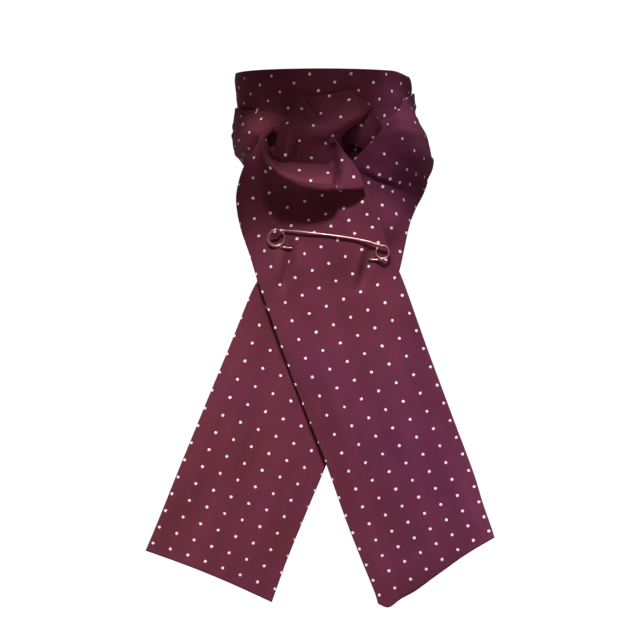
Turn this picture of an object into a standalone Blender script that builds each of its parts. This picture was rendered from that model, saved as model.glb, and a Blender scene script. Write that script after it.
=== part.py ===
"""A stock tie in its worn form: a neckband ring, two wraps, a knot, two crossing tails and a wire stock pin.

Metres, +Z up. The origin is the middle of the neckband ring, whose axis is Z. The front of the neck faces -Y.
All sizes below are in millimetres and are turned into metres once, when a mesh is written.
"""

import math

import bmesh
import bpy
from mathutils import Vector

MM = 0.001

# Driving sizes
NECK_HALF_WIDTH = 53.8  # outer face of the band below its top fold, side to side
NECK_HALF_DEPTH = 55.3  # the same, front to back
BAND_TOP = 22.5
BAND_BOTTOM = -22.5
BAND_FLARE = 2.0  # how far the top fold stands outside the rest of the band
CLOTH = 1.2  # one gathered layer with its lining fold
TAIL_CLOTH = 1.5  # a tail is the cloth doubled
WIRE = 1.0  # the pin's wire
PIN_HOLE = 2.4  # the holes that the pin's hidden leg goes through
COIL_LEFT = 10.4  # the spring coil, on the wire's centre line
COIL_RIGHT = 7.9  # the catch loop


for old in list(bpy.data.objects):
    bpy.data.objects.remove(old, do_unlink=True)


def ring(angle, out, z):
    """A point beside the neck. The angle is in degrees: 0 is the front, 90 the right, -90 the left, 180 the back."""
    a = math.radians(angle)
    return Vector(((NECK_HALF_WIDTH + out) * math.sin(a), -(NECK_HALF_DEPTH + out) * math.cos(a), z))


def between(keys, values, at):
    """Smooth reading of a short table, level at its own keys' ends."""
    if at <= keys[0]:
        return values[0]
    for k0, k1, v0, v1 in zip(keys, keys[1:], values, values[1:]):
        if at <= k1:
            t = (at - k0) / (k1 - k0)
            t = t * t * (3 - 2 * t)
            return v0 + (v1 - v0) * t
    return values[-1]


def curve_through(points, t):
    """A smooth curve through the points, with t from 0 to 1."""
    n = len(points) - 1
    s = min(max(t, 0.0), 1.0) * n
    i = min(int(s), n - 1)
    f = s - i
    p1, p2 = points[i], points[i + 1]
    p0 = points[i - 1] if i else p1 * 2 - p2
    p3 = points[i + 2] if i + 2 <= n else p2 * 2 - p1
    return 0.5 * (2 * p1 + (p2 - p0) * f + (2 * p0 - 5 * p1 + 4 * p2 - p3) * f * f + (3 * p1 - p0 - 3 * p2 + p3) * f**3)


def surface(sections, across, along):
    """The middle surface of a stretch of cloth: each section is smooth across, and the sections are smooth along."""
    columns = [[curve_through(row, j / across) for row in sections] for j in range(across + 1)]
    return [[curve_through(column, i / along) for column in columns] for i in range(along + 1)]


def normals(grid, closed=False):
    out = []
    rows, cols = len(grid), len(grid[0])
    for i in range(rows):
        line = []
        for j in range(cols):
            if closed:
                a, b = grid[i - 1][j], grid[(i + 1) % rows][j]
            else:
                a, b = grid[max(i - 1, 0)][j], grid[min(i + 1, rows - 1)][j]
            c, d = grid[i][max(j - 1, 0)], grid[i][min(j + 1, cols - 1)]
            line.append((b - a).cross(d - c).normalized())
        out.append(line)
    return out


def creased(grid, folds, closed=False):
    """Moves the surface out (or in) along each fold: a soft ridge or trough that fades at both ends.

    A fold row is (from_x, from_z, to_x, to_z, half_width, height), seen from the front.
    """
    turned = normals(grid, closed)
    result = []
    for i, row in enumerate(grid):
        line = []
        for j, p in enumerate(row):
            n = turned[i][j]
            if n.y > 0:
                n = -n
            lift = 0.0
            for x0, z0, x1, z1, half_width, height in folds:
                d = Vector((x1 - x0, z1 - z0))
                q = Vector((p.x - x0, p.z - z0))
                s = q.dot(d) / d.length_squared
                inside = min(max(s, 0.0), 1.0)
                away = (q - d * inside).length
                fade = math.sin(math.pi * min(max(0.12 + 0.76 * s, 0.0), 1.0)) ** 0.7
                lift += height * fade * math.exp(-((away / half_width) ** 2))
            line.append(p + n * lift)
        result.append(line)
    return result


def material(name, colour, roughness, metallic=0.0):
    m = bpy.data.materials.new(name)
    m.use_nodes = True
    shader = m.node_tree.nodes["Principled BSDF"]
    shader.inputs["Base Color"].default_value = (*colour, 1.0)
    shader.inputs["Roughness"].default_value = roughness
    shader.inputs["Metallic"].default_value = metallic
    return m


def add(name, bm, colour, roughness=0.7, metallic=0.0):
    bmesh.ops.recalc_face_normals(bm, faces=bm.faces)
    if bm.calc_volume(signed=True) < 0:
        bmesh.ops.reverse_faces(bm, faces=bm.faces)
    bmesh.ops.triangulate(bm, faces=bm.faces)
    mesh = bpy.data.meshes.new(name)
    bm.to_mesh(mesh)
    bm.free()
    mesh.shade_smooth()
    mesh.set_sharp_from_angle(angle=math.radians(50))
    obj = bpy.data.objects.new(name, mesh)
    bpy.context.scene.collection.objects.link(obj)
    mesh.materials.append(material(name, colour, roughness, metallic))
    return obj


def wall(name, grid, thickness, colour, closed=False):
    """A cloth wall: the middle surface moved half the thickness each way, joined round its edges."""
    turned = normals(grid, closed)
    bm = bmesh.new()
    half = thickness / 2
    sides = []
    for sign in (1, -1):
        sides.append([[bm.verts.new((p + n * half * sign) * MM) for p, n in zip(row, line)] for row, line in zip(grid, turned)])
    rows, cols = len(grid), len(grid[0])
    last = rows if closed else rows - 1
    for side in sides:
        for i in range(last):
            k = (i + 1) % rows
            for j in range(cols - 1):
                bm.faces.new((side[i][j], side[i][j + 1], side[k][j + 1], side[k][j]))
    front, back = sides
    for i in range(last):
        k = (i + 1) % rows
        for j in (0, cols - 1):
            bm.faces.new((front[i][j], front[k][j], back[k][j], back[i][j]))
    if not closed:
        for i in (0, rows - 1):
            for j in range(cols - 1):
                bm.faces.new((front[i][j], front[i][j + 1], back[i][j + 1], back[i][j]))
    return add(name, bm, colour)


def row(*points):
    return [Vector(p) for p in points]


def span(left, right, crown):
    """A tail's section: from its left edge to its right edge, with its middle standing crown forward of the chord."""
    a, b = Vector(left), Vector(right)
    points = []
    for u in (0.0, 0.25, 0.5, 0.75, 1.0):
        p = a.lerp(b, u)
        p.y -= crown * math.sin(math.pi * u) ** 0.8
        points.append(p)
    return points


BURGUNDY = (0.135, 0.028, 0.045)
BRASS = (0.60, 0.38, 0.30)

# ---------------------------------------------------------------------------------------------------- neckband
# Height of the top edge round the neck: it sinks a little on the right, where the band turns back.
BAND_EDGE = {
    "angle": [0, 50, 73, 90, 115, 150, 180, 220, 250, 270, 310, 360],
    "top": [22.5, 22.4, 20.1, 16.7, 14.5, 16.0, 18.5, 20.5, 22.0, 22.6, 22.6, 22.5],
}
# From the top edge down: how far along the height, and how far outside the neck's own ring.
BAND_PROFILE = {"down": [0.0, 0.09, 0.30, 0.55, 1.0], "out": [1.6, BAND_FLARE, 1.1, 0.0, -0.4]}


def band_face(angle, z):
    """How far the band's outer face stands outside the neck's own ring."""
    top = between(BAND_EDGE["angle"], BAND_EDGE["top"], angle % 360)
    return between(BAND_PROFILE["down"], BAND_PROFILE["out"], (top - z) / (top - BAND_BOTTOM))


def neckband():
    grid = []
    steps = 56
    for i in range(steps):
        angle = 360 * i / steps
        top = between(BAND_EDGE["angle"], BAND_EDGE["top"], angle)
        line = []
        for down, out in zip(BAND_PROFILE["down"], BAND_PROFILE["out"]):
            line.append(ring(angle, out - CLOTH / 2, top + (BAND_BOTTOM - top) * down))
        grid.append(line)
    return wall("neckband", grid, CLOTH, BURGUNDY, closed=True)


# ------------------------------------------------------------------------------------------------------- wraps
# One row for each section, from the back to the knot. Each column is (out, z): outside the band's face, and height.
WRAP_LEFT = [
    # angle, top edge, upper, lower, bottom edge
    (-204, (1.6, 1), (1.6, -9), (1.6, -21), (1.6, -32)),
    (-192, (1.5, 2), (1.5, -9), (1.5, -22), (1.5, -33)),
    (-176, (1.3, 2), (1.5, -9), (1.5, -22), (1.4, -34)),
    (-150, (1.4, 2), (1.8, -9), (1.8, -23), (1.5, -35)),
    (-120, (1.6, 1.5), (2.0, -10), (1.9, -23), (1.5, -36)),
    (-90, (1.6, 1), (1.8, -11), (1.8, -24), (1.3, -36)),
    (-62, (2.6, -1), (4.6, -10), (3.6, -24), (1.6, -36)),
    (-46, (6.0, -3.5), (9.0, -12), (6.4, -23), (2.5, -33)),
    (-35, (9.3, -6.5), (11.8, -12), (10.2, -18), (7.0, -26)),
    (-26, (11.0, -10.5), (12.6, -14), (11.8, -18), (9.0, -23)),
    (-19, (10.0, -13), (11.0, -15.5), (10.6, -18.5), (9.0, -22)),
]
WRAP_RIGHT = [
    (204, (3.5, 9), (3.7, -4), (3.8, -18), (3.6, -31)),
    (188, (3.4, 10), (3.8, -4), (3.9, -18), (3.6, -32)),
    (170, (3.5, 10), (4.0, -4), (4.0, -18), (3.7, -33)),
    (152, (3.4, 10), (3.9, -4), (4.0, -18), (3.6, -33)),
    (135, (1.8, 10), (2.8, -4), (3.0, -19), (2.0, -34)),
    (112, (1.4, 10), (3.0, -4), (4.2, -20), (3.0, -37)),
    (90, (1.6, 10), (4.0, -3), (9.4, -20), (8.0, -41)),
    (70, (1.6, 6), (9.6, -10), (18.6, -30), (15.0, -47.5)),
    (51, (3.6, -2), (12.6, -13.5), (17.0, -33), (13.5, -49)),
    (36, (9.0, -8.5), (14.0, -17), (15.5, -33), (12.5, -49)),
    (24, (9.5, -8), (14.0, -17.5), (13.0, -32), (10.5, -47)),
    (13, (9.0, -13), (12.4, -19), (11.0, -26), (9.0, -34)),
    (6, (8.6, -16), (9.8, -19), (9.4, -23), (8.4, -27)),
]
WRAP_FOLDS = [
    # from_x, from_z, to_x, to_z, half_width, height: the long folds that run round with the wraps
    (-54, -3, -38, -20, 3.0, 0.9),
    (-53, -20, -40, -27, 3.5, -0.9),
    (30, -12, 62, -13, 4.0, 0.8),
]


def wrap(name, table, along):
    sections = [[ring(angle, out + band_face(angle, z), z) for out, z in points] for angle, *points in table]
    grid = creased(surface(sections, 7, along), WRAP_FOLDS)
    return wall(name, grid, CLOTH, BURGUNDY)


# -------------------------------------------------------------------------------------------------------- knot
# The stretch over the knot, from its tucked top edge down to the hollow. Columns from the left edge to the right.
KNOT_CROSS = [
    row((-11, -57.8, 8.5), (-5, -58.4, 9), (2, -58.6, 9.5), (10, -58.2, 9.5), (17, -56.6, 10)),
    row((-12.5, -60.5, 5), (-6.5, -62, 6), (1.5, -62.5, 6.5), (10, -62, 7), (17.5, -60, 7.5)),
    row((-18, -65, -1.5), (-9.5, -68.5, -0.5), (1.5, -69, 0.5), (13, -67.5, 1.5), (24, -63, 3)),
    row((-24, -68.5, -9), (-12.5, -73, -8), (0, -74.5, -6), (14.5, -73, -3.5), (28.5, -65.5, -0.5)),
    row((-27, -70, -15), (-15.5, -74, -15), (-2, -77, -13.5), (12, -75, -9.5), (26, -67.5, -5)),
    row((-28.5, -70, -22.5), (-19, -74, -23), (-8, -74, -22), (5.5, -75, -17.5), (18, -71.5, -13)),
    row((-28.5, -69.5, -30), (-20, -73, -30.5), (-10.5, -70, -30), (0, -71, -26.5), (9.5, -71, -21.5)),
    row((-26, -68, -36.5), (-18.5, -70, -37), (-10.5, -67.3, -36.5), (-1.5, -67.3, -35), (6, -68, -30.5)),
    row((-21.5, -66.3, -41.5), (-15.5, -67, -42.5), (-9, -66, -42), (-1, -66, -41.5), (6.5, -66.5, -39)),
]
KNOT_CROSS_FOLDS = [
    (-11, 4, -3, -9, 2.6, 1.3),
    (-24, -12, -20, -34, 3.0, 0.8),
]
# The rolled loop, from its tip at the left to its edge at the right. Columns: inner edge, crown, lip, tucked under.
KNOT_LOOP = [
    row((-36, -66.5, -21.5), (-37, -68.5, -22.5), (-38, -68, -24), (-38, -65.5, -25)),
    row((-34.5, -69.5, -28), (-35.5, -71.5, -29), (-37, -71.5, -30.5), (-37, -68.5, -31)),
    row((-30, -71.5, -33), (-31, -74.5, -35), (-32.5, -75, -37), (-31.5, -71.5, -36.5)),
    row((-21.5, -71.5, -37.5), (-23, -76, -40.5), (-24.5, -78, -44), (-23, -74, -42.5)),
    row((-12, -70, -38), (-13, -78, -43.5), (-14.5, -81, -50), (-13, -76, -48)),
    row((-2, -70, -38.5), (-2.5, -79.5, -45.5), (-3.5, -82.5, -53), (-2.5, -76.5, -50.5)),
    row((4.5, -71.5, -36), (6, -79, -45.5), (7, -82, -53), (7, -76.5, -50.5)),
    row((7.5, -75, -25), (11, -78.5, -39), (15, -81, -53), (14.5, -76.5, -50.5)),
    row((12, -74.5, -30), (19.5, -77.5, -37), (24.5, -79, -49), (23.5, -75.5, -48)),
]
CORE = {"middle": (-8.0, -61.0, -22.0), "reach": (8.5, 3.4, 15.0)}


def knot():
    grid = creased(surface(KNOT_CROSS, 14, 18), KNOT_CROSS_FOLDS)
    wall("knot_cross", grid, CLOTH, BURGUNDY)
    wall("knot_loop", surface(KNOT_LOOP, 10, 20), CLOTH, BURGUNDY)
    bm = bmesh.new()
    bmesh.ops.create_uvsphere(bm, u_segments=16, v_segments=10, radius=1.0)
    for v in bm.verts:
        v.co = Vector(c + r * k for c, r, k in zip(CORE["middle"], CORE["reach"], v.co)) * MM
    add("knot_core", bm, BURGUNDY)


# ------------------------------------------------------------------------------------------------------- tails
# Front tail: its top edge follows the loop, then one row a section: left edge, right edge, crown.
FRONT_TAIL_TOP = [
    row((-42, -59.5, -26), (-36.5, -64, -28.5), (-29, -68.6, -38), (-12, -69.6, -45.5), (16.5, -71, -47.5)),
    row((-49.5, -55.5, -38.5), (-37, -65, -37.5), (-26, -69.5, -42.5), (-9, -70.5, -47), (20, -71.5, -48)),
]
FRONT_TAIL = [
    ((-53.5, -51, -53.5), (23.5, -72, -49.5), 8.0),
    ((-53, -53, -66), (26.5, -72.5, -53), 7.0),
    ((-50, -57.5, -78.5), (29.5, -73, -60), 5.0),
    ((-45, -62, -92.5), (34, -73, -72), 3.5),
    ((-40.5, -65.5, -107.5), (38.5, -72.5, -85), 2.5),
    ((-35.5, -68, -121.5), (43.5, -71.5, -96.5), 2.0),
    ((-30, -69.5, -137), (49, -71, -109), 2.0),
    ((-17.5, -70.5, -171.5), (61.5, -71, -144), 2.0),
    ((-8, -71, -195.5), (70.5, -71.5, -168.5), 2.0),
    ((1, -72, -218), (78.5, -72, -190), 2.0),
    ((13, -73.5, -252), (91, -73.5, -223.5), 2.0),
    ((21.5, -74.5, -274), (97, -75.5, -243), 1.5),
    ((30, -75, -295), (102, -78, -257.5), 1.0),
]
FRONT_TAIL_HEM = row((34, -75, -306), (38.5, -75.5, -308.5), (44, -76, -306), (71, -77, -288), (104, -80, -264))
FRONT_TAIL_FOLDS = [
    (-27, -48, -27, -76, 3.5, -1.3),
    (-18.5, -86, -23, -108, 3.2, -1.6),
    (27, -92, 24, -110, 3.0, -1.4),
    (-44, -50, -46, -80, 5.0, 1.0),
    (0, -60, 4, -100, 9.0, 0.9),
    (20, -150, 52, -245, 9.0, 0.8),
    (-2, -140, 30, -235, 7.0, -0.6),
]
# Back tail: its first rows are tucked under the pouch and behind the front tail.
BACK_TAIL_TOP = [
    row((-3, -59.5, -40), (16, -59, -42), (35, -50, -44), (47.5, -37.5, -45.5), (55.5, -27, -46)),
    row((-9, -61, -45), (11, -60.8, -47.5), (33, -54.5, -50.8), (50, -42, -52), (62.5, -31, -51.5)),
    row((-16, -61.8, -53), (5, -61.6, -56), (28, -59, -58.5), (47, -50.5, -59.5), (60.5, -40, -57.5)),
]
BACK_TAIL = [
    ((-20.5, -62, -61), (56, -50, -64.5), 4.0),
    ((-24, -62, -69), (52.5, -57, -79), 3.0),
    ((-31, -62.5, -86), (48, -61, -96.5), 2.0),
    ((-36.5, -62.8, -97), (45, -62.5, -107), 1.5),
    ((-40.5, -63.2, -107.5), (41, -63.5, -120), 1.5),
    ((-45.5, -63.8, -118), (30, -64.5, -148), 1.5),
    ((-57, -65, -147), (18.5, -65.5, -177.5), 1.5),
    ((-72.5, -66.5, -184.5), (3.5, -67, -216), 1.5),
    ((-87.5, -68.5, -221), (-11.5, -68.5, -252), 1.5),
    ((-99.5, -70.5, -251), (-22.5, -70, -279), 1.2),
    ((-108.5, -72, -272.5), (-31.5, -71.5, -304), 1.0),
]
BACK_TAIL_FOLDS = [
    (36, -60, 30, -100, 6.0, 0.9),
    (-50, -150, -84, -240, 9.0, 0.9),
    (-28, -160, -56, -270, 8.0, -0.6),
]


def tails():
    sections = FRONT_TAIL_TOP + [span(*values) for values in FRONT_TAIL] + [FRONT_TAIL_HEM]
    front = creased(surface(sections, 14, 32), FRONT_TAIL_FOLDS)
    sections = BACK_TAIL_TOP + [span(*values) for values in BACK_TAIL]
    back = creased(surface(sections, 12, 25), BACK_TAIL_FOLDS)
    wall("back_tail", back, TAIL_CLOTH, BURGUNDY)
    return wall("front_tail", front, TAIL_CLOTH, BURGUNDY), front


# --------------------------------------------------------------------------------------------------------- pin
PIN_COIL = (-29.0, -82.0)  # middle of the spring coil, x and z
PIN_LOOP = (36.0, -90.5)  # middle of the catch loop
PIN_IN = (-18.5, -88.0)  # where the hidden leg goes in
PIN_OUT = (27.0, -95.0)  # where it comes out
COIL_LIFT = 3.0  # the coil's first turn stands this far forward of the cloth's middle surface
COIL_PITCH = 1.35  # one turn of the coil, a wire's thickness and a gap

# The wire's runs: x, z, and how far it stands forward of the front tail's middle surface (behind it where negative).
PIN_NEEDLE = [
    (36.5, -95.1, 1.8),
    (31.5, -95.2, 1.6),
    (28.6, -95.1, 1.6),
    (27.3, -95.0, 1.1),
    (27.0, -95.0, 0.0),
    (26.8, -95.0, -1.4),
    (25.4, -94.8, -2.3),
    (20.0, -94.0, -2.8),
    (4.0, -91.5, -4.4),
    (-8.0, -89.6, -3.4),
    (-15.6, -88.4, -2.6),
    (-18.1, -88.0, -1.6),
    (-18.5, -88.0, 0.0),
    (-18.9, -88.0, 1.2),
    (-20.6, -87.9, 2.1),
    (-24.0, -87.5, 2.5),
]
PIN_BAR = [
    (-25.0, -77.0, 3.9),
    (-14.0, -78.0, 3.0),
    (-3.0, -79.3, 2.3),
    (8.0, -80.7, 2.1),
    (18.0, -82.2, 2.3),
    (27.0, -84.0, 2.8),
    (32.5, -85.8, 3.2),
]


def depth_at(grid, x, z):
    """The middle surface's y at a place seen from the front."""
    nearest = sorted((((p.x - x) ** 2 + (p.z - z) ** 2, p.y) for line in grid for p in line), key=lambda k: k[0])[:4]
    weights = [1 / (0.5 + d) for d, _ in nearest]
    return sum(w * y for w, (_, y) in zip(weights, nearest)) / sum(weights)


def turned(middle, radius, start, end, near, far, steps):
    """Points round a circle that faces the front, from one depth to another. Angles in degrees, 90 is up."""
    points = []
    for i in range(steps + 1):
        t = i / steps
        a = math.radians(start + (end - start) * t)
        points.append(Vector((middle[0] + radius * math.cos(a), near + (far - near) * t, middle[1] + radius * math.sin(a))))
    return points


def pin_path(grid):
    """One wire: the needle from its tip, in and out of the cloth, the spring coil, the bar and the catch loop."""

    def run(table):
        return [Vector((x, depth_at(grid, x, z) - lift, z)) for x, z, lift in table]

    needle, bar = run(PIN_NEEDLE), run(PIN_BAR)
    coil_y = depth_at(grid, *PIN_COIL) - COIL_LIFT
    coil = turned(PIN_COIL, COIL_LEFT / 2, -80, -628, coil_y, coil_y - COIL_PITCH * 1.52, 30)
    loop = turned(PIN_LOOP, COIL_RIGHT / 2, 98, -222, bar[-1].y - 0.1, bar[-1].y + 1.0, 18)
    first = [curve_through(needle + coil[:2], i / 34) for i in range(32)]
    second = [curve_through([coil[-1]] + bar + [loop[0]], i / 14) for i in range(1, 14)]
    return first + coil[1:] + second + loop


def pin_cutters(grid):
    """Round cutters for the two holes that the needle passes through."""
    bm = bmesh.new()
    for x, z in (PIN_IN, PIN_OUT):
        made = bmesh.ops.create_cone(bm, cap_ends=True, segments=8, radius1=PIN_HOLE / 2 * MM, radius2=PIN_HOLE / 2 * MM, depth=6 * MM)
        for v in made["verts"]:
            x0, y0, z0 = v.co
            v.co = Vector((x * MM + x0, depth_at(grid, x, z) * MM - z0, z * MM + y0))
    mesh = bpy.data.meshes.new("pin_holes")
    bm.to_mesh(mesh)
    bm.free()
    cutter = bpy.data.objects.new("pin_holes", mesh)
    bpy.context.scene.collection.objects.link(cutter)
    cutter.hide_render = True
    cutter.display_type = "WIRE"
    return cutter


def stock_pin(grid, tail):
    cut = tail.modifiers.new("pin_holes", "BOOLEAN")
    cut.operation = "DIFFERENCE"
    cut.object = pin_cutters(grid)
    path = pin_path(grid)
    data = bpy.data.curves.new("stock_pin", "CURVE")
    data.dimensions = "3D"
    data.bevel_depth = WIRE / 2 * MM
    data.bevel_resolution = 1
    data.use_fill_caps = True
    spline = data.splines.new("POLY")
    spline.points.add(len(path) - 1)
    for point, p in zip(spline.points, path):
        point.co = (*(p * MM), 1.0)
    pin = bpy.data.objects.new("stock_pin", data)
    bpy.context.scene.collection.objects.link(pin)
    data.materials.append(material("stock_pin", BRASS, 0.3, 1.0))


neckband()
wrap("wrap_left", WRAP_LEFT, 36)
wrap("wrap_right", WRAP_RIGHT, 38)
knot()
front_tail, front_grid = tails()
stock_pin(front_grid, front_tail)
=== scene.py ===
"""The looks of the worn stock tie: burgundy satin-backed cloth with small woven dots, and a wire stock pin.

The cloth pieces are thin rounded shells on the middle surfaces of their solids, with the main creases placed one by
one.
All the tables are in millimetres in the part's own frame: +X right, -Y to the front, +Z up.
"""

import math

import bpy
import numpy as np
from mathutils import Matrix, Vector


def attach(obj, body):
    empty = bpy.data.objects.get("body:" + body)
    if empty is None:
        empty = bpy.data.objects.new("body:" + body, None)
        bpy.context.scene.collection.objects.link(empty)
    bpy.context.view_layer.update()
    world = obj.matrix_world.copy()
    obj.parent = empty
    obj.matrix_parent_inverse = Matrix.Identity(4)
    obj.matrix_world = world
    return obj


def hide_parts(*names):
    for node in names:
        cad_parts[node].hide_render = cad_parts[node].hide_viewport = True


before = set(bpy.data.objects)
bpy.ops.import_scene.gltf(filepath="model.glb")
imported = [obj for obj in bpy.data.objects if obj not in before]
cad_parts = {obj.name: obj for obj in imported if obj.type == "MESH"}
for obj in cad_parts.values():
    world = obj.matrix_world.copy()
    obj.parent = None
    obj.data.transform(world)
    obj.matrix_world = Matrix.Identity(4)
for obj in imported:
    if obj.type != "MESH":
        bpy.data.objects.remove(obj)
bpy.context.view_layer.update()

MM = 0.001
NECK_HALF_WIDTH = 53.8
NECK_HALF_DEPTH = 55.3
BAND_BOTTOM = -22.5
PITCH = 11.3  # the dots' repeat


# ------------------------------------------------------------------------------------------------ shape functions
def smooth_table(keys, values, at):
    """Smooth reading of a short table, level at its keys."""
    at = np.asarray(at, float)
    keys, values = np.asarray(keys, float), np.asarray(values, float)
    i = np.clip(np.searchsorted(keys, at, side="right") - 1, 0, len(keys) - 2)
    t = np.clip((at - keys[i]) / (keys[i + 1] - keys[i]), 0, 1)
    t = t * t * (3 - 2 * t)
    return values[i] + (values[i + 1] - values[i]) * t


def through(points, t):
    """A smooth curve through points (n, ...) at t (k,) from 0 to 1."""
    points = np.asarray(points, float)
    n = len(points) - 1
    s = np.clip(t, 0, 1) * n
    i = np.minimum(s.astype(int), n - 1)
    f = (s - i).reshape((-1,) + (1,) * (points.ndim - 1))
    padded = np.concatenate([[2 * points[0] - points[1]], points, [2 * points[-1] - points[-2]]])
    p0, p1, p2, p3 = padded[i], padded[i + 1], padded[i + 2], padded[i + 3]
    return 0.5 * (2 * p1 + (p2 - p0) * f + (2 * p0 - 5 * p1 + 4 * p2 - p3) * f**2 + (3 * p1 - p0 - 3 * p2 + p3) * f**3)


def steps(length, size, edge):
    """Fractions from 0 to 1 at about that spacing, closer at both ends where an edge is rounded off."""
    near = [0.0, 0.08, 0.3, 0.62, 1.0]
    lead = [edge * k / length for k in near]
    n = max(int(round((length - 2 * edge) / size)), 4)
    body = [lead[-1] + (1 - 2 * lead[-1]) * k / n for k in range(1, n)]
    return np.array(lead + body + [1 - k for k in reversed(lead)])


def surface(sections, size, edge):
    """The middle surface through the sections: (points (n, m, 3), fraction along (n,), fraction across (m,))."""
    s = np.asarray(sections, float)
    across = np.linalg.norm(np.diff(s, axis=1), axis=2).sum(1).max()
    along = np.linalg.norm(np.diff(s, axis=0), axis=2).sum(0).max()
    u, v = steps(across, size, edge), steps(along, size, edge)
    columns = through(np.swapaxes(s, 0, 1), u)  # (m, rows, 3)
    grid = through(np.swapaxes(columns, 0, 1), v)  # (n, m, 3)
    return grid, v, u


def facing(grid, closed=False):
    """Unit normals of the middle surface."""
    if closed:
        a = np.roll(grid, -1, 0) - np.roll(grid, 1, 0)
    else:
        a = np.gradient(grid, axis=0)
    b = np.gradient(grid, axis=1)
    n = np.cross(a, b)
    return n / np.maximum(np.linalg.norm(n, axis=2, keepdims=True), 1e-9)


def lengths(grid):
    """Cloth measured along and across, in mm, from the middle of the sheet."""
    along = np.concatenate([[0], np.cumsum(np.linalg.norm(np.diff(grid, axis=0), axis=2).mean(1))])
    d = np.linalg.norm(np.diff(grid, axis=1), axis=2)
    across = np.concatenate([np.zeros((len(grid), 1)), np.cumsum(d, 1)], 1)
    return along, across


def creased(grid, folds, closed=False, side="front"):
    """Soft ridges (height over 0) and troughs along given lines, on the side that faces the front or the back.

    A row is (points [(x, z), ...], half width, height, sharpness): the lift fades at both ends; a sharper fold has a
    narrow crest on the same width. The lift is outwards on that side.
    """
    if not folds:
        return grid
    n = facing(grid, closed)
    if side == "front":
        n = n * np.where(n[..., 1:2] > 0, -1.0, 1.0)
        here = 1.0 if not closed else grid[..., 1] < 0
    elif side == "back":
        n = n * np.where(n[..., 1:2] < 0, -1.0, 1.0)
        here = grid[..., 1] > 0
    lift = np.zeros(grid.shape[:2])
    p = grid[..., (0, 2)]
    for line, half_width, height, sharp in folds:
        line = np.asarray(line, float)
        total = np.linalg.norm(np.diff(line, axis=0), axis=1).sum()
        best = np.full(grid.shape[:2], 1e9)
        where = np.zeros(grid.shape[:2])
        run = 0.0
        for a, b in zip(line, line[1:]):
            d = b - a
            size = np.linalg.norm(d)
            s = np.clip(((p - a) @ d) / size**2, 0, 1)
            away = np.linalg.norm(p - (a + s[..., None] * d), axis=2)
            closer = away < best
            best = np.where(closer, away, best)
            where = np.where(closer, (run + s * size) / total, where)
            run += size
        fade = np.sin(math.pi * np.clip(0.06 + 0.88 * where, 0, 1)) ** 0.6
        lift += height * fade * np.exp(-((best / half_width) ** sharp))
    return grid + n * (lift * here)[..., None]


def rippled(grid, size, height, seed):
    """Slight unevenness of the cloth: a sum of long waves in a few directions."""
    rng = np.random.default_rng(seed)
    n = facing(grid)
    x, y, z = grid[..., 0], grid[..., 1], grid[..., 2]
    lift = np.zeros(grid.shape[:2])
    for k in range(7):
        a, b = rng.uniform(0, 2 * math.pi, 2)
        f = 2 * math.pi / (size * rng.uniform(0.6, 1.7))
        lift += np.sin((x * math.cos(a) + z * math.sin(a)) * f + 0.7 * np.sin(0.35 * f * (z * math.cos(a) - x * math.sin(a)) + b) + b)
    return grid + n * (lift * height / 4)[..., None]


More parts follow.
